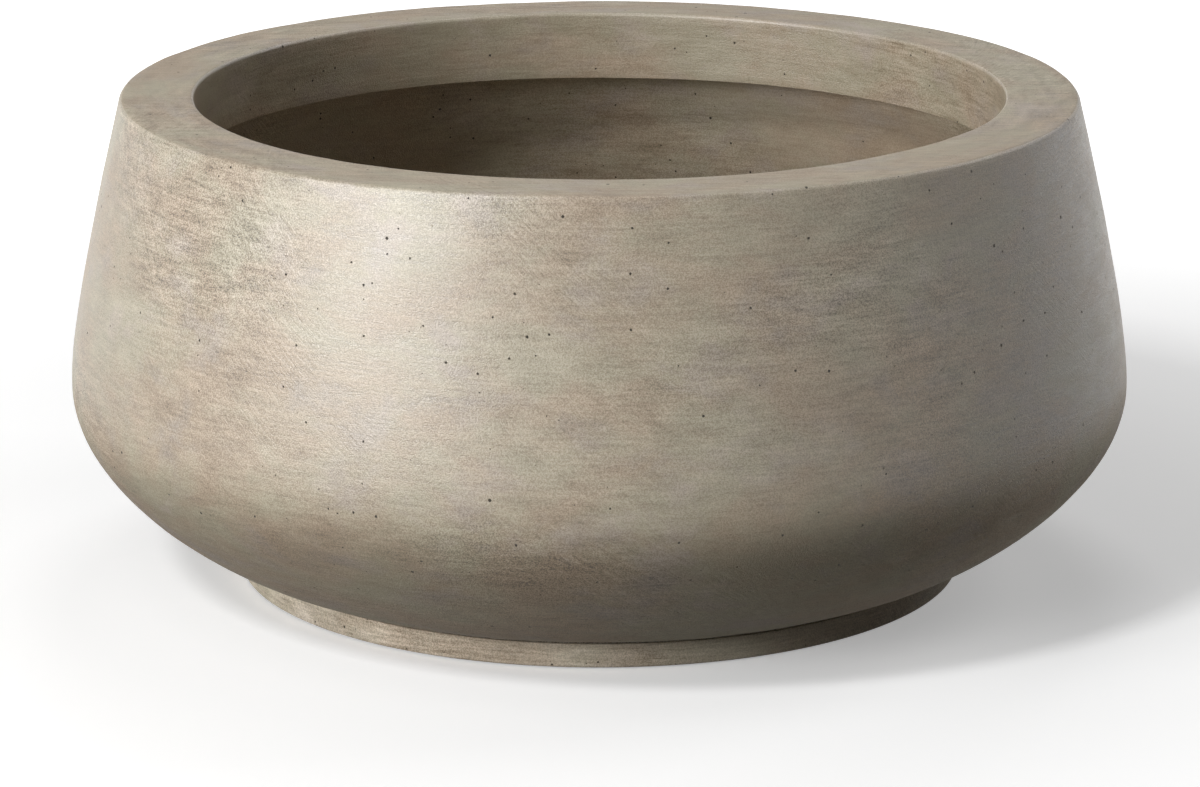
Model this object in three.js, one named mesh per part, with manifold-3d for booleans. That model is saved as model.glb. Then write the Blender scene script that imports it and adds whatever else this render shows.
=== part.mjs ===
// Concrete bowl planter: a thin cast bowl with a broad turned-in rim, on a low foot ring.
//
// Millimetres, +Z up. The origin is on the floor, at the centre of the footprint.
// The bowl and the ring are separate castings, joined by a thin bed of mortar. A plastic sleeve
// lines the drain hole, a rubber plug closes it, and four rubber pads keep the ring off the floor.

import * as THREE from 'three';
import { mergeVertices } from 'three/addons/utils/BufferGeometryUtils.js';
import Module from 'manifold-3d';

// ---- Driving dimensions ---------------------------------------------------------------------

// Bowl, outside
const overallHeight = 275; // floor to rim
const bellyRadius = 300; // widest point
const bellyHeight = 110.3; // widest point, above the floor
const rimRadius = 269.1; // outer edge of the rim
const rimLean = 13.6; // degrees from vertical that the wall leans inwards at the rim
const footRadius = 206; // where the dish meets the foot ring
const dishSlope = 16.25; // degrees above horizontal at which the dish leaves the foot ring

// How far the wall keeps its direction at each end, as shares of its own rise or run
const rimHold = 0.761;
const bellyHoldAbove = 0.093;
const bellyHoldBelow = 0.448;
const dishHold = 0.393;

// Rim and its turned-in lip
const rimWidth = 41.3; // flat top, outer edge to mouth
const rimOuterRound = 2.5;
const rimInnerRound = 2.0;
const lipDepth = 41.2; // rim top to the lip's lower edge
const lipDraft = 4.3; // how much wider the lip is at its lower edge
const lipRootRound = 12; // inside corner between the lip's underside and the wall

// Wall and floor
const wallThickness = 14;
const floorThickness = 18;

// Foot ring, mortar and pads
const ringHeight = 13.3;
const ringDraft = 2; // how much the ring's bore widens downwards
const mortarThickness = 1;
const mortarRecess = 1.5; // how far the mortar stays back from the ring's faces
const padRadius = 11;
const padThickness = 3;
const padProud = 1; // how far a pad stands out of the ring
const padBevel = 0.4;
const padLand = 5.7; // ring left on each side of a pad's socket
const padCount = 4;
const firstPadAngle = 45; // degrees from +X

// Drain: sleeve in the floor, and plug
const drainBore = 11; // radius of the water way
const sleeveWall = 3;
const sleeveDrip = 2; // how far the sleeve hangs below the bowl, so that drops fall clear
const flangeWidth = 8; // flange beyond the sleeve's outside
const flangeThickness = 3;
const flangeBevel = 0.8;
const plugHeadOverlap = 7; // head beyond the water way
const plugHeadThickness = 4;
const plugHeadRound = 1.6;
const plugTaper = 0.8; // how much slimmer the plug is at its lower end
const plugSetback = 3; // plug's lower end above the sleeve's lower end
const plugEndBevel = 1.2;
const knobRadius = 8;
const knobNeck = 5; // radius
const knobNeckHeight = 3;

// Fits
const fitGap = 0.3; // round the sleeve, the plug and the pads

// ---- Fineness of the faceted solids -----------------------------------------------------------

const bowlSegments = 64; // round the axis
const smallSegments = 32;
const wallSteps = 11; // along each half of the wall
const roundSteps = 3;
const leastStep = 1; // least height between two points of the inner wall

// ---- Heights and radii that follow from them ----------------------------------------------------

const ringBottom = padProud;
const ringTop = ringBottom + ringHeight;
const seatHeight = ringTop + mortarThickness; // the bowl's flat underside
const floorTop = seatHeight + floorThickness;
const mouthRadius = rimRadius - rimWidth;
const lipBottom = overallHeight - lipDepth;
const lipBottomRadius = mouthRadius + lipDraft;
const sleeveRadius = drainBore + sleeveWall;
const flangeRadius = sleeveRadius + flangeWidth;
const sleeveBottom = seatHeight - sleeveDrip;
const socketRadius = padRadius + fitGap;
const ringWidth = 2 * (socketRadius + padLand);
const padCircle = footRadius - ringWidth / 2;

const rad = THREE.MathUtils.degToRad;
const at = (radius, height) => new THREE.Vector2(radius, height);

// ---- Helpers ----------------------------------------------------------------------------------

// An arc of the given radius in place of the corner between two straight runs.
function rounded(before, corner, after, radius) {
  const back = before.clone().sub(corner).normalize();
  const on = after.clone().sub(corner).normalize();
  const half = Math.acos(THREE.MathUtils.clamp(back.dot(on), -1, 1)) / 2;
  const centre = back.clone().add(on).normalize().multiplyScalar(radius / Math.sin(half)).add(corner);
  const start = corner.clone().addScaledVector(back, radius / Math.tan(half)).sub(centre);
  const end = corner.clone().addScaledVector(on, radius / Math.tan(half)).sub(centre);
  const turn = Math.atan2(start.cross(end), start.dot(end));
  const points = [];
  for (let i = 0; i <= roundSteps; i += 1) {
    points.push(start.clone().rotateAround(at(0, 0), (turn * i) / roundSteps).add(centre));
  }
  return points;
}

// A solid of revolution about +Z. The profile runs anticlockwise, with radius to the right and
// height up; one that leaves the axis is closed by repeating its first point.
function turned(profile, segments) {
  const offAxis = profile.some((p) => p.x === 0) ? [] : [profile[0].clone()];
  const geometry = new THREE.LatheGeometry([...profile, ...offAxis], segments);
  geometry.rotateX(Math.PI / 2);
  geometry.deleteAttribute('normal');
  geometry.deleteAttribute('uv');
  return mergeVertices(geometry, 1e-4);
}

function disc(radius, bottom, top, segments) {
  return turned([at(0, bottom), at(radius, bottom), at(radius, top), at(0, top)], segments);
}

const wasm = await Module();
wasm.setup();

function toSolid(geometry) {
  const vertProperties = new Float32Array(geometry.getAttribute('position').array);
  const corners = geometry.getIndex().array;
  const kept = [];
  for (let i = 0; i < corners.length; i += 3) {
    const [a, b, c] = [corners[i], corners[i + 1], corners[i + 2]];
    if (a !== b && b !== c && c !== a) {
      kept.push(a, b, c); // a facet at the axis shrinks to a line and is left out
    }
  }
  return new wasm.Manifold(new wasm.Mesh({ numProp: 3, vertProperties, triVerts: new Uint32Array(kept) }));
}

function toGeometry(solid) {
  const { vertProperties, triVerts } = solid.getMesh();
  const geometry = new THREE.BufferGeometry();
  geometry.setAttribute('position', new THREE.BufferAttribute(vertProperties, 3));
  geometry.setIndex(new THREE.BufferAttribute(triVerts, 1));
  return geometry;
}

const planter = new THREE.Group();

function addPiece(name, geometry, material) {
  const mesh = new THREE.Mesh(geometry, material);
  mesh.name = name;
  planter.add(mesh);
  return mesh;
}

// ---- Materials ----------------------------------------------------------------------------------

const concrete = new THREE.MeshStandardMaterial({ color: 0xa89c88, roughness: 0.9, metalness: 0 });
const ringConcrete = new THREE.MeshStandardMaterial({ color: 0xa79d8a, roughness: 0.93, metalness: 0 });
const mortar = new THREE.MeshStandardMaterial({ color: 0x8c857a, roughness: 0.96, metalness: 0 });
const sleevePlastic = new THREE.MeshStandardMaterial({ color: 0x3b3c3d, roughness: 0.55, metalness: 0 });
const plugRubber = new THREE.MeshStandardMaterial({ color: 0x242424, roughness: 0.75, metalness: 0 });
const padRubber = new THREE.MeshStandardMaterial({ color: 0x1d1d1c, roughness: 0.85, metalness: 0 });

// ---- Bowl shell -----------------------------------------------------------------------------------
// One thin casting: shallow dish, round belly, and a wall that leans in to a broad flat rim whose
// inner edge turns down as a lip. Behind the lip the inside steps back to the wall.

function outerWall() {
  const rise = overallHeight - bellyHeight;
  const drop = bellyHeight - seatHeight;
  const spread = bellyRadius - footRadius;
  const foot = at(footRadius, seatHeight);
  const belly = at(bellyRadius, bellyHeight);
  const rim = at(rimRadius, overallHeight);
  const alongDish = at(Math.cos(rad(dishSlope)), Math.sin(rad(dishSlope)));
  const downFromRim = at(Math.sin(rad(rimLean)), -Math.cos(rad(rimLean)));
  return [
    new THREE.CubicBezierCurve(
      foot,
      foot.clone().addScaledVector(alongDish, dishHold * spread),
      at(bellyRadius, bellyHeight - bellyHoldBelow * drop),
      belly,
    ),
    new THREE.CubicBezierCurve(
      belly,
      at(bellyRadius, bellyHeight + bellyHoldAbove * rise),
      rim.clone().addScaledVector(downFromRim, rimHold * rise),
      rim,
    ),
  ];
}

// Points of the outside from the foot to the rim, set back into the wall by the given depth.
function wallPoints(depth) {
  const points = [];
  for (const [index, curve] of outerWall().entries()) {
    for (let i = index; i <= wallSteps; i += 1) {
      const along = curve.getTangent(i / wallSteps);
      points.push(curve.getPoint(i / wallSteps).addScaledVector(at(-along.y, along.x), depth));
    }
  }
  return points;
}

// The point at a given height on a line of rising points.
function atHeight(points, height) {
  const i = points.findIndex((p, n) => n > 0 && p.y >= height);
  const share = (height - points[i - 1].y) / (points[i].y - points[i - 1].y);
  return points[i - 1].clone().lerp(points[i], share);
}

function bowlShell() {
  const outside = wallPoints(0);
  const rimCorner = outside.pop();
  const mouthCorner = at(mouthRadius, overallHeight);
  const lipEdge = at(lipBottomRadius, lipBottom);

  const inside = wallPoints(wallThickness);
  const lipRoot = atHeight(inside, lipBottom);
  const belowRoot = atHeight(inside, lipBottom - lipRootRound);
  const root = new THREE.QuadraticBezierCurve(at(lipRoot.x - lipRootRound, lipBottom), lipRoot, belowRoot);
  const floorEdge = atHeight(inside, floorTop);
  const innerWall = inside.filter((p) => p.y > floorTop + leastStep && p.y < belowRoot.y - leastStep);

  return turned([
    at(sleeveRadius + fitGap, seatHeight),
    ...outside,
    ...rounded(outside.at(-1), rimCorner, mouthCorner, rimOuterRound),
    ...rounded(rimCorner, mouthCorner, lipEdge, rimInnerRound),
    lipEdge,
    ...root.getPoints(roundSteps + 1),
    ...innerWall.reverse(),
    floorEdge,
    at(flangeRadius + fitGap, floorTop),
    at(flangeRadius + fitGap, floorTop - flangeThickness),
    at(sleeveRadius + fitGap, floorTop - flangeThickness),
  ], bowlSegments);
}

addPiece('bowl_shell', bowlShell(), concrete);

// ---- Foot ring, mortar bed and pads -----------------------------------------------------------------
// The ring is cast by itself, with sockets for the pads in its underside, and is bedded on mortar
// under the bowl's flat seat. The pads leave a drip-wide gap, through which drained water runs out.

const ringBore = footRadius - ringWidth;

const ringBlank = turned([
  at(ringBore + ringDraft, ringBottom),
  at(footRadius, ringBottom),
  at(footRadius, ringTop),
  at(ringBore, ringTop),
], bowlSegments);

const socketCutter = toSolid(disc(socketRadius, ringBottom - padProud, padThickness, smallSegments));

function padPlace(index) {
  const angle = rad(firstPadAngle + (360 * index) / padCount);
  return [padCircle * Math.cos(angle), padCircle * Math.sin(angle), 0];
}

let ring = toSolid(ringBlank);
for (let i = 0; i < padCount; i += 1) {
  ring = ring.subtract(socketCutter.translate(padPlace(i)));
}
addPiece('foot_ring', toGeometry(ring), ringConcrete);

addPiece('mortar_bed', turned([
  at(ringBore + mortarRecess, ringTop),
  at(footRadius - mortarRecess, ringTop),
  at(footRadius - mortarRecess, seatHeight),
  at(ringBore + mortarRecess, seatHeight),
], bowlSegments), mortar);

const padShape = turned([
  at(0, 0),
  at(padRadius - padBevel, 0),
  at(padRadius, padBevel),
  at(padRadius, padThickness),
  at(0, padThickness),
], smallSegments);

for (let i = 0; i < padCount; i += 1) {
  addPiece(`foot_pad_${i + 1}`, padShape, padRubber).position.set(...padPlace(i));
}

// ---- Drain sleeve and plug ----------------------------------------------------------------------------
// The sleeve's flange lies flush in a recess of the floor. The plug's head rests on the flange, its
// tapered body hangs in the water way, and it is pulled straight up by its knob.

addPiece('drain_bush', turned([
  at(drainBore, sleeveBottom),
  at(sleeveRadius, sleeveBottom),
  at(sleeveRadius, floorTop - flangeThickness),
  at(flangeRadius, floorTop - flangeThickness),
  at(flangeRadius, floorTop - flangeBevel),
  at(flangeRadius - flangeBevel, floorTop),
  at(drainBore + flangeBevel, floorTop),
  at(drainBore, floorTop - flangeBevel),
], smallSegments), sleevePlastic);

const headRadius = drainBore + plugHeadOverlap;
const headTop = floorTop + plugHeadThickness;
const plugRadius = drainBore - fitGap;
const plugBottom = sleeveBottom + plugSetback;
const knobCentre = headTop + knobNeckHeight + Math.sqrt(knobRadius ** 2 - knobNeck ** 2);

// Upper part of a ball, from its neck to its top.
function knobPoints() {
  const points = [];
  const start = -Math.acos(knobNeck / knobRadius);
  for (let i = 0; i <= 2 * roundSteps; i += 1) {
    const angle = start + ((Math.PI / 2 - start) * i) / (2 * roundSteps);
    const radius = i === 2 * roundSteps ? 0 : knobRadius * Math.cos(angle);
    points.push(at(radius, knobCentre + knobRadius * Math.sin(angle)));
  }
  return points;
}

addPiece('drain_plug', turned([
  at(0, plugBottom),
  at(plugRadius - plugTaper - plugEndBevel, plugBottom),
  at(plugRadius - plugTaper, plugBottom + plugEndBevel),
  at(plugRadius, floorTop),
  at(headRadius, floorTop),
  ...rounded(at(headRadius, floorTop), at(headRadius, headTop), at(0, headTop), plugHeadRound),
  at(knobNeck, headTop),
  ...knobPoints(),
], smallSegments), plugRubber);

export default planter;
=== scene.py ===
import math

import bmesh
import bpy
from mathutils import Matrix, Vector, noise


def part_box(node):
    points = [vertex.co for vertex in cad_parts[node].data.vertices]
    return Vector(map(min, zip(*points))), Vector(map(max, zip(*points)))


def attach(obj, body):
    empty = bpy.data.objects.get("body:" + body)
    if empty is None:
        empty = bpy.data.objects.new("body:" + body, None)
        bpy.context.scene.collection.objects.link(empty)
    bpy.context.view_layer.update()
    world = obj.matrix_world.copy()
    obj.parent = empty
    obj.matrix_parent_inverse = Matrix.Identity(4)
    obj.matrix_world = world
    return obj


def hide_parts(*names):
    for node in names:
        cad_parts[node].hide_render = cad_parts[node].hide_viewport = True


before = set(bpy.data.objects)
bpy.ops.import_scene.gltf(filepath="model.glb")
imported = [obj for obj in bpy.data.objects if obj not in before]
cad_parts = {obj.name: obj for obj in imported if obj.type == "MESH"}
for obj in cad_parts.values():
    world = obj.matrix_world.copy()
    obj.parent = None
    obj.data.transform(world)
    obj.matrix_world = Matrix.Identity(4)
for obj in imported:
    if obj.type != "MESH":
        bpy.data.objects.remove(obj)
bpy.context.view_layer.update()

# ---------------------------------------------------------------------------------------------
# Camera. It stands in front of the planter, a little above the height of a table, and looks down a
# little, from far enough away that the bowl is hardly drawn together by perspective.

camera_place = Vector((0.00033, -2.6463, 0.8230))
look_down = math.radians(15.3365)
picture_width_in_pixels = 1200
focal_length_in_pixels = 4788.5
sensor_width = 36.0

lens = bpy.data.cameras.new("camera")
lens.sensor_width = sensor_width
lens.lens = focal_length_in_pixels / picture_width_in_pixels * sensor_width
camera = bpy.data.objects.new("camera", lens)
camera.location = camera_place
camera.rotation_euler = (math.pi / 2 - look_down, 0, 0)
bpy.context.scene.collection.objects.link(camera)
bpy.context.scene.camera = camera

# ---------------------------------------------------------------------------------------------
# Bowl. One thin casting of fine concrete: a shallow dish, a round belly, and a wall that leans in
# to a broad flat rim, whose inner edge turns down as a lip. It is rubbed smooth by hand while
# green, which leaves brushed streaks round it, and it weathers to soft warm and cool patches.

bowl_low, bowl_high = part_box("bowl_shell")
ring_low, ring_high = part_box("foot_ring")
sleeve_low, sleeve_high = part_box("drain_bush")

rim_height = bowl_high.z
seat_height = bowl_low.z
belly_radius = bowl_high.x
belly_height = 0.1103
rim_radius = 0.2691
rim_lean = math.radians(13.6)
foot_radius = ring_high.x
dish_slope = math.radians(16.25)
rim_hold = 0.761
belly_hold_above = 0.093
belly_hold_below = 0.448
dish_hold = 0.393
wall_thickness = 0.014

rim_width = 0.0413
rim_outer_bevel = 0.0020
rim_inner_bevel = 0.0021
lip_depth = 0.0412
lip_draft = 0.0043
lip_edge_bevel = 0.0006
lip_root_radius = 0.2645
lip_root_round = 0.012

floor_height = sleeve_high.z
floor_edge_radius = 0.2145
floor_edge_slope = math.radians(24)
inner_rim_lean = math.radians(13)
inner_rim_hold = 0.067
inner_belly_hold_above = 0.0185
inner_belly_hold_below = 0.0319
floor_edge_hold = 0.0295

fit_gap = 0.0003
flange_thickness = 0.003
sleeve_radius = 0.014
sleeve_hole = sleeve_radius + fit_gap
flange_hole = sleeve_high.x + fit_gap

outline_spacing = 0.0058
curve_steps = 36
bowl_steps = 336
weld_distance = 1e-6
crease_angle = math.radians(35)


def along(angle):
    return Vector((math.cos(angle), math.sin(angle)))


def turn(knots, steps, spacing, closed=True):
    """Turns an outline about +Z. A knot is (point, handle before, handle after), and a missing
    handle makes a straight run. Each vertex keeps its place along the outline, in metres."""
    curve = bpy.data.curves.new("outline", "CURVE")
    curve.dimensions = "3D"
    curve.resolution_u = curve_steps
    spline = curve.splines.new("BEZIER")
    spline.bezier_points.add(len(knots) - 1)
    spline.use_cyclic_u = closed
    for knot, (point, before, after) in zip(spline.bezier_points, knots):
        knot.co = (point[0], 0, point[1])
        knot.handle_left_type = "FREE" if before else "VECTOR"
        knot.handle_right_type = "FREE" if after else "VECTOR"
        if before:
            knot.handle_left = (before[0], 0, before[1])
        if after:
            knot.handle_right = (after[0], 0, after[1])
    drawn = bpy.data.objects.new("outline", curve)
    mesh = bpy.data.meshes.new_from_object(drawn)
    bm = bmesh.new()
    bm.from_mesh(mesh)
    bpy.data.objects.remove(drawn)
    bpy.data.curves.remove(curve)
    bpy.data.meshes.remove(mesh)

    bmesh.ops.remove_doubles(bm, verts=bm.verts, dist=weld_distance)
    for edge in [e for e in bm.edges if e.calc_length() > 1.5 * spacing]:
        bmesh.ops.subdivide_edges(bm, edges=[edge], cuts=round(edge.calc_length() / spacing) - 1)
    run = bm.verts.layers.float.new("outline_run")
    first = Vector((knots[0][0][0], 0, knots[0][0][1]))
    start = min(bm.verts, key=lambda v: (v.co - first).length)
    vert, edge, length = start, start.link_edges[0], 0.0
    while edge:
        vert = edge.other_vert(vert)
        length += edge.calc_length()
        if vert is start:
            break
        vert[run] = length
        edge = next((e for e in vert.link_edges if e is not edge), None)

    bmesh.ops.spin(
        bm,
        geom=bm.verts[:] + bm.edges[:],
        cent=(0, 0, 0),
        axis=(0, 0, 1),
        dvec=(0, 0, 0),
        angle=2 * math.pi,
        steps=steps,
        use_merge=True,
    )
    bmesh.ops.remove_doubles(bm, verts=bm.verts, dist=weld_distance)
    bmesh.ops.recalc_face_normals(bm, faces=bm.faces)
    return bm


def round_edge(bm, corner, size, segments=4):
    """Rounds the edge that runs round a turned piece at this radius and height."""
    radius, height = corner
    slack = 2e-5
    near = {
        v
        for v in bm.verts
        if abs(v.co.xy.length - radius) < slack and abs(v.co.z - height) < slack
    }
    bmesh.ops.bevel(
        bm,
        geom=[e for e in bm.edges if e.verts[0] in near and e.verts[1] in near],
        offset=size,
        segments=segments,
        profile=0.5,
        affect="EDGES",
        material=-1,
    )


def shift_by_noise(bm, size, depth, seed, share=lambda co: 1.0):
    """Moves the surface in and out softly, as hand work does, in waves of this size."""
    bm.normal_update()
    for v in bm.verts:
        v.co += v.normal * depth * share(v.co) * noise.noise(v.co / size + Vector((seed, 0, 0)))


def finished_piece(bm, name, material, node, body="planter"):
    """Makes the mesh a piece that stands for a CAD node, rides on its body and has its finish."""
    mesh = bpy.data.meshes.new(name)
    bm.to_mesh(mesh)
    bm.free()
    mesh.shade_smooth()
    mesh.set_sharp_from_angle(angle=crease_angle)
    mesh.materials.append(material)
    piece = bpy.data.objects.new(name, mesh)
    bpy.context.scene.collection.objects.link(piece)
    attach(piece, body)
    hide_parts(node)
    return piece


def add_node(material, kind, wires=None, **settings):
    """Adds a shader node. Wires give an input a value, or the socket that feeds it."""
    made = material.node_tree.nodes.new(kind)
    for key, value in settings.items():
        setattr(made, key, value)
    for key, value in (wires or {}).items():
        if isinstance(value, bpy.types.NodeSocket):
            material.node_tree.links.new(value, made.inputs[key])
        else:
            made.inputs[key].default_value = value
    return made


def new_material(name):
    material = bpy.data.materials.new(name)
    material.use_nodes = True
    material.node_tree.nodes.clear()
    return material


def maths(material, operation, *values):
    """The result of a Math node on values or sockets."""
    return add_node(
        material, "ShaderNodeMath", dict(enumerate(values)), operation=operation
    ).outputs[0]


def fade(material, value, start, end, to_low=0.0, to_high=1.0):
    """A smooth step from one value to another as the input goes from start to end."""
    return add_node(
        material,
        "ShaderNodeMapRange",
        {
            "Value": value,
            "From Min": start,
            "From Max": end,
            "To Min": to_low,
            "To Max": to_high,
        },
        interpolation_type="SMOOTHSTEP",
    ).outputs["Result"]


def stretched(material, vector, *sizes):
    """The vector in units of these sizes, in metres, along X, Y and Z."""
    return add_node(
        material,
        "ShaderNodeVectorMath",
        {0: vector, 1: [1 / size for size in sizes]},
        operation="MULTIPLY",
    ).outputs[0]


def cloudy(material, vector, detail=3.0, roughness=0.55, warp=0.0, seed=0.0):
    """Noise from 0 to 1 about 0.5, one cloud to a unit of the vector."""
    moved = add_node(
        material,
        "ShaderNodeVectorMath",
        {0: vector, 1: (seed, 0.7 * seed, -seed)},
        operation="ADD",
    ).outputs[0]
    return add_node(
        material,
        "ShaderNodeTexNoise",
        {
            "Vector": moved,
            "Scale": 1.0,
            "Detail": detail,
            "Roughness": roughness,
            "Distortion": warp,
        },
    ).outputs["Fac"]


def blend_colour(material, share, first, second):
    mixer = add_node(material, "ShaderNodeMix", {0: share}, data_type="RGBA")
    for index, colour in ((6, first), (7, second)):
        if isinstance(colour, bpy.types.NodeSocket):
            material.node_tree.links.new(colour, mixer.inputs[index])
        else:
            mixer.inputs[index].default_value = (*colour, 1)
    return mixer.outputs[2]


def sum_of(material, base, *terms):
    """Base plus each share times how far its noise is from 0.5."""
    total = base
    for share, noise_value in terms:
        swing = maths(material, "SUBTRACT", noise_value, 0.5)
        total = maths(material, "MULTIPLY_ADD", swing, share, total)
    return total


cloud_size = (0.085, 0.085, 0.050)
hue_size = (0.045, 0.045, 0.030)
smudge_size = (0.024, 0.024, 0.009)
streak_size = (0.022, 0.022, 0.0015)
board_streak_size = (0.034, 0.0019, 0.034)
stroke_size = (0.011, 0.0016, 1.0)
stroke_slant = math.radians(-38)
stroked_area = (0.09, 0.09, 0.07)
rubbed_area = (0.20, 0.20, 0.16)
sand_size = (0.0020, 0.0020, 0.0016)
fines_size = (0.0008, 0.0008, 0.0007)
bubble_spacing = (0.006, 0.006, 0.006)
bubble_raggedness = (0.0007, 0.0007, 0.0007)
bubble_crowd_size = (0.07, 0.07, 0.05)
bubble_edge_scale = 900.0
smallest_bubble = 0.050
bubble_spread = 0.105
bubble_edge = (-0.006, 0.018)
struck_slope = (0.85, 0.97)
struck_height = (0.20, 0.25)
seam_hidden = (2.2, 2.8)
moulded_to_rubbed = (0.05, 0.12)
moulded_unevenness = 0.55
skin_relief = 0.00010


def cast_concrete(name, sandy, olive, ashen, roughness, sheen, openness, pits_from, dull_and_shaded=None):
    """Fine hand-finished concrete: warm and cool clouds, brushed streaks, sand grain, pinholes.
    Openness is how much of the sand shows through the skin of cement, and pinholes are rarer as
    pits_from rises. The last argument gives the height above which the hand rubs it smooth, and the
    one below which it stays dull and is painted darker, a painted shade under the belly."""
    material = new_material(name)
    place = add_node(material, "ShaderNodeTexCoord").outputs["Object"]
    xyz = add_node(material, "ShaderNodeSeparateXYZ", {0: place}).outputs
    run = add_node(
        material, "ShaderNodeAttribute", attribute_name="outline_run"
    ).outputs["Fac"]
    wiped_place = add_node(
        material, "ShaderNodeCombineXYZ", {0: xyz[0], 1: xyz[1], 2: run}
    ).outputs[0]

    # The rim's top is struck off with a board drawn along X, and the rest is wiped round the bowl
    facing = add_node(material, "ShaderNodeNewGeometry").outputs["Normal"]
    upward = add_node(material, "ShaderNodeSeparateXYZ", {0: facing}).outputs[2]
    level = fade(material, upward, *struck_slope)
    level = maths(material, "MULTIPLY", level, fade(material, xyz[2], *struck_height))
    wiped = stretched(material, wiped_place, *streak_size)
    struck = stretched(material, place, *board_streak_size)
    brushed = add_node(
        material, "ShaderNodeMix", {0: level, 4: wiped, 5: struck}, data_type="VECTOR"
    ).outputs[1]
    streaks = cloudy(material, brushed, detail=3, roughness=0.6, seed=3.1)

    # In places the float was drawn across at a slant, which shows as short crossing strokes. They
    # fade out at the back, where the unrolled surface has its seam
    turned = maths(material, "ARCTAN2", xyz[0], maths(material, "MULTIPLY", xyz[1], -1.0))
    way_round = maths(material, "MULTIPLY", turned, belly_radius)
    unrolled = add_node(material, "ShaderNodeCombineXYZ", {0: way_round, 1: run}).outputs[0]
    slanted = add_node(
        material,
        "ShaderNodeVectorRotate",
        {"Vector": unrolled, "Angle": stroke_slant},
        rotation_type="Z_AXIS",
    ).outputs[0]
    stroke_place = stretched(material, slanted, *stroke_size)
    strokes = cloudy(material, stroke_place, detail=3, warp=0.5, seed=4.4)
    crossed = cloudy(material, stretched(material, place, *stroked_area), detail=2, seed=0.6)
    crossed = fade(material, crossed, 0.46, 0.60)
    off_seam = fade(material, maths(material, "ABSOLUTE", turned), *seam_hidden, 1.0, 0.0)
    crossed = maths(material, "MULTIPLY", crossed, off_seam)
    crossing = maths(material, "MULTIPLY", maths(material, "SUBTRACT", strokes, 0.5), crossed)

    clouds = stretched(material, wiped_place, *cloud_size)
    warm_cool = cloudy(material, clouds, detail=5, roughness=0.62, warp=0.35, seed=1.7)
    hues = stretched(material, wiped_place, *hue_size)
    blush = cloudy(material, hues, detail=4, roughness=0.6, warp=0.3, seed=8.2)
    wipes = stretched(material, wiped_place, *smudge_size)
    smudges = cloudy(material, wipes, detail=4, roughness=0.5, warp=0.5, seed=5.3)
    sand = cloudy(material, stretched(material, place, *sand_size), detail=1, seed=6.6)
    fines = stretched(material, place, *fines_size)
    grain = cloudy(material, fines, detail=1, roughness=0.7, seed=2.2)
    grain = fade(material, grain, 0.34, 0.66)

    # Where the skin was rubbed harder, less of the sand and of the hand work shows. The inside and
    # the underside are left as they come off a smooth core and mould, and are more even
    rubbed = cloudy(material, stretched(material, place, *rubbed_area), detail=1, seed=3.5)
    shown = fade(material, rubbed, 0.42, 0.58, 0.78, 1.45)
    outward = add_node(
        material, "ShaderNodeVectorMath", {0: facing, 1: place}, operation="DOT_PRODUCT"
    ).outputs["Value"]
    uneven = fade(material, outward, *moulded_to_rubbed, moulded_unevenness, 1.0)

    # Pinholes that air bubbles leave in the skin, more of them in some places. Their dark is
    # painted shade in the hollow
    ragged = add_node(material, "ShaderNodeTexNoise", {"Vector": place, "Scale": bubble_edge_scale})
    bubble_place = add_node(
        material,
        "ShaderNodeVectorMath",
        {0: ragged.outputs["Color"], 1: bubble_raggedness, 2: place},
        operation="MULTIPLY_ADD",
    ).outputs[0]
    cells = add_node(
        material,
        "ShaderNodeTexVoronoi",
        {"Vector": stretched(material, bubble_place, *bubble_spacing), "Scale": 1.0},
    )
    chance = add_node(
        material, "ShaderNodeSeparateColor", {0: cells.outputs["Color"]}
    ).outputs
    crowd = cloudy(material, stretched(material, place, *bubble_crowd_size), detail=1, seed=9.4)
    rare = maths(material, "MULTIPLY_ADD", crowd, 1.4, chance[0])
    there = fade(material, rare, pits_from, pits_from + 0.03)
    wide = maths(material, "MULTIPLY", chance[1], chance[1])
    bubble_size = maths(material, "MULTIPLY_ADD", wide, bubble_spread, smallest_bubble)
    inside = maths(material, "SUBTRACT", bubble_size, cells.outputs["Distance"])
    pit = maths(material, "MULTIPLY", there, fade(material, inside, *bubble_edge))

    tint = blend_colour(material, fade(material, warm_cool, 0.36, 0.64), sandy, olive)
    tint = blend_colour(material, fade(material, blush, 0.48, 0.70), tint, ashen)
    open_skin = fade(material, level, 0.0, 1.0, openness, 0.45 * openness)
    sandy_look = sum_of(material, 0.0, (0.35, sand), (0.60, grain))
    hand_work = sum_of(material, 0.0, (0.80, smudges), (0.95, streaks))
    hand_work = maths(material, "MULTIPLY_ADD", crossing, 0.7, hand_work)
    texture = maths(material, "MULTIPLY_ADD", sandy_look, open_skin, hand_work)
    shade = sum_of(material, 0.0, (0.9, warm_cool))
    shade = maths(material, "MULTIPLY_ADD", texture, shown, shade)
    # The rim's struck top is painted a tenth darker, a painted shade that offsets the light it gets
    # from above
    bright = fade(material, level, 0.0, 1.0, 1.0, 0.90)
    bright = maths(material, "MULTIPLY_ADD", shade, uneven, bright)
    # Pinholes are painted nearly black: painted shade in their hollows
    bright = maths(material, "MULTIPLY", bright, fade(material, pit, 0.0, 1.0, 1.0, 0.10))
    # Below the belly the colour is painted darker towards the foot, as painted shade under the
    # belly
    if dull_and_shaded:
        bright = maths(material, "MULTIPLY", bright, fade(material, xyz[2], *dull_and_shaded, 1.0, 0.72))
    # Dark specks are also richer in colour, as wet sand is
    richness = maths(material, "MULTIPLY_ADD", bright, -0.4, 1.4)
    colour = add_node(
        material,
        "ShaderNodeHueSaturation",
        {"Color": tint, "Saturation": richness, "Value": bright},
    ).outputs[0]

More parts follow.
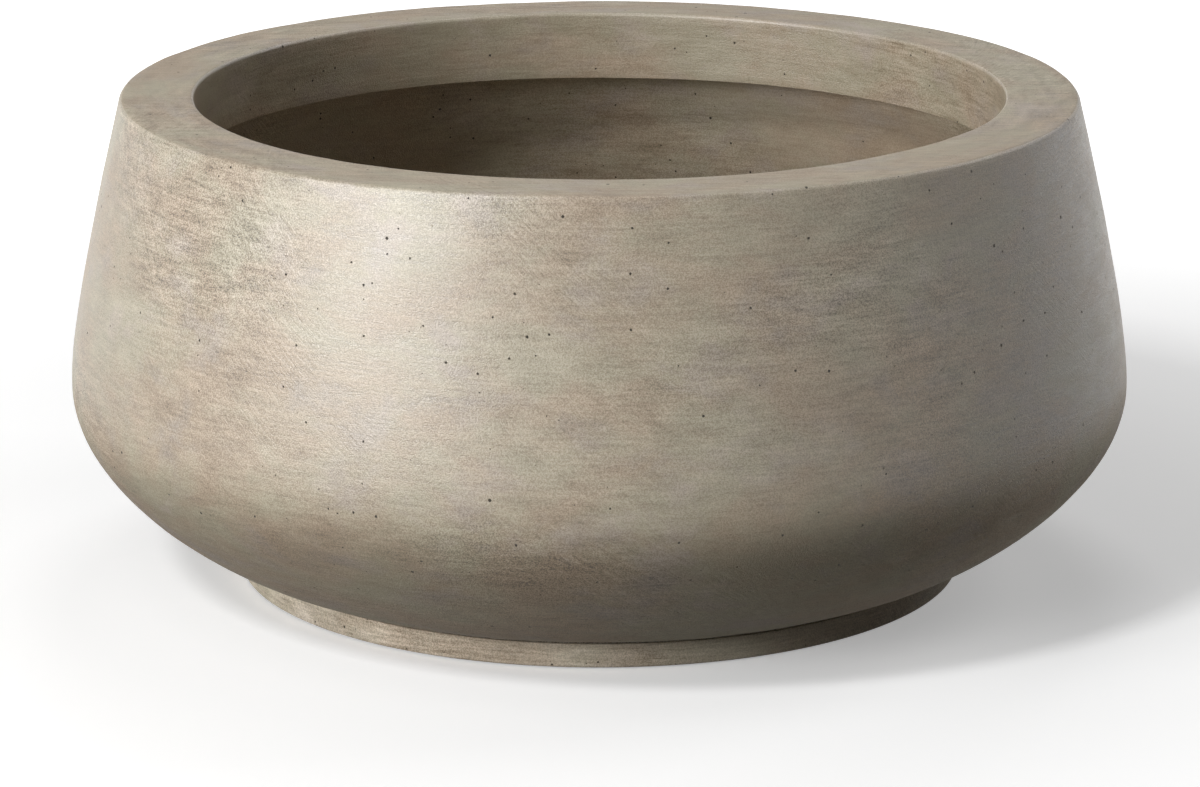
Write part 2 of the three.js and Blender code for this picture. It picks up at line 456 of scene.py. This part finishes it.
    relief = sum_of(material, 0.0, (1.2, streaks), (1.0, smudges))
    relief = maths(material, "MULTIPLY_ADD", crossing, 3.0, relief)
    relief = maths(material, "MULTIPLY_ADD", sandy_look, open_skin, relief)
    relief = maths(material, "MULTIPLY_ADD", pit, -8.0, relief)
    bump = add_node(
        material,
        "ShaderNodeBump",
        {"Strength": 1.0, "Distance": skin_relief, "Height": relief},
    )
    dull = fade(material, level, 0.0, 1.0, roughness, roughness + 0.33)
    dull = sum_of(material, dull, (0.20, smudges), (0.25, streaks))
    dull = maths(material, "ADD", dull, pit)
    if dull_and_shaded:
        dull = maths(material, "ADD", dull, fade(material, xyz[2], *dull_and_shaded, 0.0, 0.48))
    shader = add_node(
        material,
        "ShaderNodeBsdfPrincipled",
        {
            "Base Color": colour,
            "Roughness": dull,
            "Specular IOR Level": sheen,
            "Normal": bump.outputs[0],
        },
    )
    add_node(material, "ShaderNodeOutputMaterial", {"Surface": shader.outputs[0]})
    return material


# The dish below the belly is dull, and its colour is painted darker towards the foot as shade under
# the belly
dish_brow_height = 0.132
dish_shaded_height = 0.075

rubbed_concrete = cast_concrete(
    "rubbed_concrete",
    sandy=(0.386, 0.304, 0.220),
    olive=(0.336, 0.296, 0.212),
    ashen=(0.356, 0.299, 0.242),
    roughness=0.40,
    sheen=1.0,
    openness=1.0,
    pits_from=1.37,
    dull_and_shaded=(dish_brow_height, dish_shaded_height),
)

rise = rim_height - belly_height
drop = belly_height - seat_height
up = Vector((0, 1))
foot = Vector((foot_radius, seat_height))
belly = Vector((belly_radius, belly_height))
rim = Vector((rim_radius, rim_height))
mouth = Vector((rim_radius - rim_width, rim_height))
lip_edge = mouth + Vector((lip_draft, -lip_depth))
lip_root = Vector((lip_root_radius, lip_edge.y))
down_the_wall = -along(math.pi / 2 + inner_rim_lean)
root_start = lip_root - Vector((lip_root_round, 0))
root_end = lip_root + lip_root_round * down_the_wall
inner_belly = belly - Vector((wall_thickness, 0))
floor_edge = Vector((floor_edge_radius, floor_height))

bowl_outline = [
    (Vector((sleeve_hole, seat_height)), None, None),
    (foot, None, foot + dish_hold * (belly_radius - foot_radius) * along(dish_slope)),
    (belly, belly - belly_hold_below * drop * up, belly + belly_hold_above * rise * up),
    (rim, rim - rim_hold * rise * along(math.pi / 2 + rim_lean), None),
    (mouth, None, None),
    (lip_edge, None, None),
    (root_start, None, root_start.lerp(lip_root, 2 / 3)),
    (root_end, root_end.lerp(lip_root, 2 / 3), root_end + inner_rim_hold * down_the_wall),
    (
        inner_belly,
        inner_belly + inner_belly_hold_above * up,
        inner_belly - inner_belly_hold_below * up,
    ),
    (floor_edge, floor_edge + floor_edge_hold * along(floor_edge_slope), None),
    (Vector((flange_hole, floor_height)), None, None),
    (Vector((flange_hole, floor_height - flange_thickness)), None, None),
    (Vector((sleeve_hole, floor_height - flange_thickness)), None, None),
]
bowl_mesh = turn(bowl_outline, bowl_steps, outline_spacing)
round_edge(bowl_mesh, rim, rim_outer_bevel)
round_edge(bowl_mesh, mouth, rim_inner_bevel)
round_edge(bowl_mesh, lip_edge, lip_edge_bevel)

seat_margin = 0.0005
flange_margin = 0.004


def free_of_joints(co):
    """Nothing moves where the ring and the sleeve are fitted."""
    on_seat = co.z < seat_height + seat_margin
    at_drain = co.xy.length < flange_hole + flange_margin
    return 0.0 if on_seat or at_drain else 1.0


shift_by_noise(bowl_mesh, size=0.095, depth=0.0006, seed=11, share=free_of_joints)
shift_by_noise(bowl_mesh, size=0.022, depth=0.00018, seed=5, share=free_of_joints)
finished_piece(bowl_mesh, "bowl", rubbed_concrete, "bowl_shell")

# ---------------------------------------------------------------------------------------------
# Foot ring. A separate casting of the same concrete, a little paler and duller because it is left
# as it comes from the mould. Its underside has a socket for each rubber pad.

ring_bore = 0.172
ring_draft = 0.002
ring_foot_bevel = 0.0009
ring_top_bevel = 0.0005
ring_spacing = 0.0024
ring_foot_margin = 0.0005
ring_top_margin = 0.0002
socket_steps = 72
pad_count = 4
first_pad_angle = math.radians(45)
pad_low, pad_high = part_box("foot_pad_1")
pad_radius = (pad_high.x - pad_low.x) / 2
pad_height = pad_high.z
pad_circle = Vector(((pad_low.x + pad_high.x) / 2, (pad_low.y + pad_high.y) / 2)).length

moulded_concrete = cast_concrete(
    "moulded_concrete",
    sandy=(0.530, 0.434, 0.328),
    olive=(0.474, 0.418, 0.312),
    ashen=(0.496, 0.422, 0.330),
    roughness=0.70,
    sheen=0.5,
    openness=0.6,
    pits_from=1.36,
)


def pad_place(index):
    turned = first_pad_angle + 2 * math.pi * index / pad_count
    return Vector((*(pad_circle * along(turned)), 0))


ring_outline = [
    (Vector((ring_bore + ring_draft, ring_low.z)), None, None),
    (Vector((foot_radius, ring_low.z)), None, None),
    (Vector((foot_radius, ring_high.z)), None, None),
    (Vector((ring_bore, ring_high.z)), None, None),
]
ring_mesh = turn(ring_outline, bowl_steps, ring_spacing)
round_edge(ring_mesh, ring_outline[1][0], ring_foot_bevel)
round_edge(ring_mesh, ring_outline[2][0], ring_top_bevel, segments=2)


def faces_only(co):
    """Nothing moves where the ring stands and where it is bedded."""
    low, high = ring_low.z + ring_foot_margin, ring_high.z - ring_top_margin
    return 1.0 if low < co.z < high else 0.0


shift_by_noise(ring_mesh, size=0.03, depth=0.0002, seed=21, share=faces_only)
ring = finished_piece(ring_mesh, "ring", moulded_concrete, "foot_ring")

sockets = bmesh.new()
for index in range(pad_count):
    bmesh.ops.create_cone(
        sockets,
        cap_ends=True,
        segments=socket_steps,
        radius1=pad_radius + fit_gap,
        radius2=pad_radius + fit_gap,
        depth=2 * pad_height,
        matrix=Matrix.Translation(pad_place(index)),
    )
socket_mesh = bpy.data.meshes.new("sockets")
sockets.to_mesh(socket_mesh)
sockets.free()
socket_cutter = bpy.data.objects.new("sockets", socket_mesh)
bpy.context.scene.collection.objects.link(socket_cutter)
cut = ring.modifiers.new("sockets", "BOOLEAN")
cut.object = socket_cutter
cut.solver = "EXACT"
cut_ring = ring.evaluated_get(bpy.context.evaluated_depsgraph_get())
cut_mesh = bpy.data.meshes.new_from_object(cut_ring)
ring.modifiers.clear()
ring.data = cut_mesh
bpy.data.objects.remove(socket_cutter)

# ---------------------------------------------------------------------------------------------
# Mortar bed. Sandy mortar that the bowl is set down on while wet. It is struck back from the
# faces of the ring with a rounded tool, so the joint is hollow and a little uneven.

mortar_recess = 0.0015
joint_hollow = 0.0009
mortar_spacing = 0.006
hollow_reach = 0.0003
mortar_low, mortar_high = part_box("mortar_bed")
mortar_outer = mortar_high.x
mortar_inner = ring_bore + mortar_recess

sandy_mortar = cast_concrete(
    "sandy_mortar",
    sandy=(0.270, 0.240, 0.195),
    olive=(0.230, 0.215, 0.180),
    ashen=(0.255, 0.220, 0.190),
    roughness=0.90,
    sheen=0.5,
    openness=2.0,
    pits_from=1.32,
)
half_height = (mortar_low.z + mortar_high.z) / 2
mortar_outline = [
    (Vector((mortar_inner, mortar_low.z)), None, None),
    (Vector((mortar_outer, mortar_low.z)), None, None),
    (Vector((mortar_outer - joint_hollow, half_height)), None, None),
    (Vector((mortar_outer, mortar_high.z)), None, None),
    (Vector((mortar_inner, mortar_high.z)), None, None),
    (Vector((mortar_inner + joint_hollow, half_height)), None, None),
]
mortar_mesh = turn(mortar_outline, bowl_steps, mortar_spacing)


def hollow_only(co):
    """Only the middle of the struck faces moves, not what the mortar holds together."""
    return 1.0 if abs(co.z - half_height) < hollow_reach else 0.0


shift_by_noise(mortar_mesh, size=0.006, depth=0.0006, seed=31, share=hollow_only)
finished_piece(mortar_mesh, "mortar_joint", sandy_mortar, "mortar_bed")

# ---------------------------------------------------------------------------------------------
# Foot pads. Four discs punched from black sheet rubber, glued into the ring's sockets. They
# stand 1 mm proud, with ring grooves underneath that grip the floor.

pad_steps = 96
pad_bevel = 0.0004
tread_margin = 0.0008
groove_depth = 0.0004
groove_wall = 0.0001
groove_width = 0.0007
groove_pitch = 0.0024
groove_count = 4
mould_grain = 0.0006
mould_relief = 0.00006
dust_patch = 0.009
dust_colour = (0.20, 0.18, 0.15)


def dusty_moulding(name, colour, roughness, dust):
    """Matt rubber or plastic as it comes from the mould, with a fine grain and pale dust on it."""
    material = new_material(name)
    place = add_node(material, "ShaderNodeTexCoord").outputs["Object"]
    grain = cloudy(material, stretched(material, place, *[mould_grain] * 3), seed=4.0)
    dusty = cloudy(material, stretched(material, place, *[dust_patch] * 3), detail=5, seed=7.0)
    dust_share = fade(material, dusty, 0.45, 0.8, 0.0, dust)
    shade = blend_colour(material, dust_share, colour, dust_colour)
    bump = add_node(
        material,
        "ShaderNodeBump",
        {"Strength": 1.0, "Distance": mould_relief, "Height": grain},
    )
    dull = sum_of(material, roughness, (0.3, dusty), (0.2, grain))
    shader = add_node(
        material,
        "ShaderNodeBsdfPrincipled",
        {"Base Color": shade, "Roughness": dull, "Normal": bump.outputs[0]},
    )
    add_node(material, "ShaderNodeOutputMaterial", {"Surface": shader.outputs[0]})
    return material


sheet_rubber = dusty_moulding("sheet_rubber", (0.013, 0.013, 0.012), roughness=0.75, dust=0.5)

for index in range(pad_count):
    pad = bmesh.new()
    bmesh.ops.create_cone(
        pad,
        cap_ends=True,
        segments=pad_steps,
        radius1=pad_radius,
        radius2=pad_radius,
        depth=pad_height,
        matrix=Matrix.Translation((0, 0, pad_height / 2)),
    )
    edges = [e for e in pad.edges if all(v.co.z < weld_distance for v in e.verts)]
    bmesh.ops.bevel(
        pad,
        geom=edges,
        offset=pad_bevel,
        segments=3,
        profile=0.5,
        affect="EDGES",
        material=-1,
    )
    pad.faces.ensure_lookup_table()
    tread = min(pad.faces, key=lambda f: (f.calc_center_median().z, -f.calc_area()))
    bmesh.ops.inset_individual(pad, faces=[tread], thickness=tread_margin)
    for _ in range(groove_count):
        for width, depth in (
            (groove_wall, -groove_depth),
            (groove_width, 0.0),
            (groove_wall, groove_depth),
            (groove_pitch - groove_width, 0.0),
        ):
            bmesh.ops.inset_individual(
                pad, faces=[tread], thickness=width, depth=depth, use_even_offset=True
            )
    bmesh.ops.translate(pad, verts=pad.verts, vec=pad_place(index))
    bmesh.ops.recalc_face_normals(pad, faces=pad.faces)
    finished_piece(pad, f"pad_{index + 1}", sheet_rubber, f"foot_pad_{index + 1}")

# ---------------------------------------------------------------------------------------------
# Drain sleeve. A dark grey moulded plastic tube that lines the hole through the floor. Its flange
# lies flush in a recess of the floor, bedded in sealant, and its lower end hangs clear as a drip.

drain_bore = 0.011
flange_bevel = 0.0008
sleeve_end_bevel = 0.0006
fitting_steps = 144
fitting_spacing = 0.0025

grey_plastic = dusty_moulding("grey_plastic", (0.044, 0.046, 0.046), roughness=0.50, dust=0.65)
sleeve_outline = [
    (Vector((drain_bore, sleeve_low.z)), None, None),
    (Vector((sleeve_radius, sleeve_low.z)), None, None),
    (Vector((sleeve_radius, floor_height - flange_thickness)), None, None),
    (Vector((sleeve_high.x, floor_height - flange_thickness)), None, None),
    (Vector((sleeve_high.x, floor_height)), None, None),
    (Vector((drain_bore, floor_height)), None, None),
]
sleeve_mesh = turn(sleeve_outline, fitting_steps, fitting_spacing)
round_edge(sleeve_mesh, sleeve_outline[4][0], flange_bevel)
round_edge(sleeve_mesh, sleeve_outline[5][0], flange_bevel)
round_edge(sleeve_mesh, sleeve_outline[0][0], sleeve_end_bevel, segments=3)
round_edge(sleeve_mesh, sleeve_outline[1][0], sleeve_end_bevel, segments=3)
finished_piece(sleeve_mesh, "sleeve", grey_plastic, "drain_bush")

# ---------------------------------------------------------------------------------------------
# Drain plug. A black rubber stopper moulded in one: a tapered body with sealing ribs, a round
# head that rests on the flange, and a knob to pull it by. It is pushed in by hand, not fixed.

plug_low, plug_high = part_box("drain_plug")
plug_radius = drain_bore - fit_gap
plug_taper = 0.0008
plug_end_bevel = 0.0012
rib_height = 0.0004
rib_length = 0.0012
rib_places = (0.004, 0.0085, 0.013)
head_radius = plug_high.x
head_height = 0.004
head_top = floor_height + head_height
head_round = 0.0016
head_dish = 0.0006
bead_radius = 0.0135
bead_width = 0.001
knob_radius = 0.008
knob_neck = 0.005
neck_fillet = 0.0016
neck_height = 0.003
knob_centre = head_top + neck_height + math.sqrt(knob_radius**2 - knob_neck**2)
round_hold = 4 / 3 * math.tan(math.pi / 8)

stopper_rubber = dusty_moulding("stopper_rubber", (0.018, 0.018, 0.018), roughness=0.62, dust=0.45)


def body_radius(height):
    share = (height - plug_low.z) / (floor_height - plug_low.z)
    return plug_radius - rib_height - plug_taper * (1 - share)


plug_outline = [
    (Vector((0, plug_low.z)), None, None),
    (Vector((body_radius(plug_low.z) - plug_end_bevel, plug_low.z)), None, None),
    (Vector((body_radius(plug_low.z), plug_low.z + plug_end_bevel)), None, None),
]
for place in rib_places:
    height = plug_low.z + place
    root_below = Vector((body_radius(height), height))
    crest = Vector((body_radius(height) + rib_height, height + rib_length / 2))
    root_above = Vector((body_radius(height + rib_length), height + rib_length))
    plug_outline += [(root_below, None, None), (crest, None, None), (root_above, None, None)]
shoulder = Vector((head_radius, floor_height))
brow = Vector((head_radius, head_top - head_round))
crown = Vector((head_radius - head_round, head_top))
bead_out = Vector((bead_radius + bead_width, head_top))
bead = Vector((bead_radius, head_top - head_dish))
neck_root = Vector((knob_neck + neck_fillet, head_top - head_dish))
neck = Vector((knob_neck, head_top - head_dish + neck_fillet))
neck_angle = -math.acos(knob_neck / knob_radius)
neck_top = Vector((0, knob_centre)) + knob_radius * along(neck_angle)
equator = Vector((knob_radius, knob_centre))
pole = Vector((0, knob_centre + knob_radius))
lower_hold = 4 / 3 * math.tan(-neck_angle / 4) * knob_radius
plug_outline += [
    (Vector((body_radius(floor_height), floor_height)), None, None),
    (shoulder, None, None),
    (brow, None, brow + Vector((0, round_hold * head_round))),
    (crown, crown + Vector((round_hold * head_round, 0)), None),
    (bead_out, None, None),
    (bead, None, None),
    (neck_root, None, neck_root - Vector((round_hold * neck_fillet, 0))),
    (neck, neck - Vector((0, round_hold * neck_fillet)), None),
    (neck_top, None, neck_top + lower_hold * along(neck_angle + math.pi / 2)),
    (
        equator,
        equator - Vector((0, lower_hold)),
        equator + Vector((0, round_hold * knob_radius)),
    ),
    (pole, pole + Vector((round_hold * knob_radius, 0)), None),
]
plug_mesh = turn(plug_outline, fitting_steps, fitting_spacing, closed=False)
finished_piece(plug_mesh, "plug", stopper_rubber, "drain_plug", body="plug")

# ---------------------------------------------------------------------------------------------
# Floor. The white sweep of a photo studio, which looks white wherever it is seen, by eye or in a
# reflection, and keeps a pale shadow of the planter. Its glow is painted lower near the planter, a
# painted shade round the base that fades out with distance. It throws only a little light back up.

floor_reach = 15
floor_white = 0.85
floor_glow = 0.34
floor_bounce = 0.05
floor_shade_full_within = 0.3
floor_shade_gone_at = 1.6


def is_seen(owner):
    """1 for a ray that shows what it meets: to the eye, in a gloss or through glass."""
    path = add_node(owner, "ShaderNodeLightPath").outputs
    seen = maths(owner, "MAXIMUM", path["Is Camera Ray"], path["Is Glossy Ray"])
    return maths(owner, "MAXIMUM", seen, path["Is Transmission Ray"])


studio_white = new_material("studio_white")
seen = is_seen(studio_white)
floor_place = add_node(studio_white, "ShaderNodeTexCoord").outputs["Object"]
away = add_node(
    studio_white, "ShaderNodeVectorMath", {0: floor_place}, operation="LENGTH"
).outputs["Value"]
# The glow is painted lower near the planter, a painted shade round its base that fades out with
# distance
glow = fade(studio_white, away, floor_shade_full_within, floor_shade_gone_at, floor_glow, 1.0)
paint = add_node(
    studio_white,
    "ShaderNodeBsdfDiffuse",
    {"Color": blend_colour(studio_white, seen, [floor_bounce] * 3, [floor_white] * 3)},
)
shine = add_node(
    studio_white, "ShaderNodeEmission", {"Strength": maths(studio_white, "MULTIPLY", seen, glow)}
)
both = add_node(studio_white, "ShaderNodeAddShader", {0: paint.outputs[0], 1: shine.outputs[0]})
add_node(studio_white, "ShaderNodeOutputMaterial", {"Surface": both.outputs[0]})

floor_bm = bmesh.new()
bmesh.ops.create_grid(floor_bm, x_segments=1, y_segments=1, size=floor_reach)
floor_mesh = bpy.data.meshes.new("floor")
floor_bm.to_mesh(floor_mesh)
floor_bm.free()
floor_mesh.materials.append(studio_white)
floor = bpy.data.objects.new("floor", floor_mesh)
bpy.context.scene.collection.objects.link(floor)

# ---------------------------------------------------------------------------------------------
# Light. A wide low soft panel at the front left draws the broad highlight on the wall, a small one
# above it throws the shadow, and weak ones fill in from above, from the right and from behind.

world_fill = 0.015
lamp_distance = 3.0
lamp_target = Vector((0, 0, 0.15))


def soft_panel(name, turned, raised, width, height, level):
    """A panel that faces the bowl. Turned is to the right of the camera, raised above the floor,
    width and height are as seen from the bowl, all in degrees. Level 1 shows white as white."""
    turned, raised = math.radians(turned), math.radians(raised)
    towards = Vector((math.sin(turned), -math.cos(turned), 0)) * math.cos(raised)
    towards.z = math.sin(raised)
    lamp = bpy.data.lights.new(name, "AREA")
    lamp.shape = "RECTANGLE"
    lamp.size = 2 * lamp_distance * math.tan(math.radians(width / 2))
    lamp.size_y = 2 * lamp_distance * math.tan(math.radians(height / 2))
    lamp.energy = level * math.pi**2 * lamp_distance**2
    holder = bpy.data.objects.new(name, lamp)
    holder.location = lamp_target + lamp_distance * towards
    holder.rotation_euler = (-towards).to_track_quat("-Z", "Y").to_euler()
    bpy.context.scene.collection.objects.link(holder)


soft_panel("front_left", turned=-50, raised=15, width=34, height=16, level=0.76)
soft_panel("key", turned=-38, raised=43, width=9, height=9, level=0.40)
soft_panel("over_left", turned=-60, raised=62, width=20, height=20, level=0.04)
soft_panel("behind", turned=172, raised=52, width=24, height=24, level=0.17)
soft_panel("right", turned=112, raised=34, width=24, height=24, level=0.15)

world = bpy.data.worlds.new("studio")
world.use_nodes = True
bpy.context.scene.world = world
backdrop = world.node_tree.nodes["Background"]
world_glow = fade(world, is_seen(world), 0.0, 1.0, world_fill, 1.0)
backdrop.inputs["Color"].default_value = (1, 1, 1, 1)
world.node_tree.links.new(world_glow, backdrop.inputs["Strength"])

bpy.context.scene.view_settings.view_transform = "Standard"
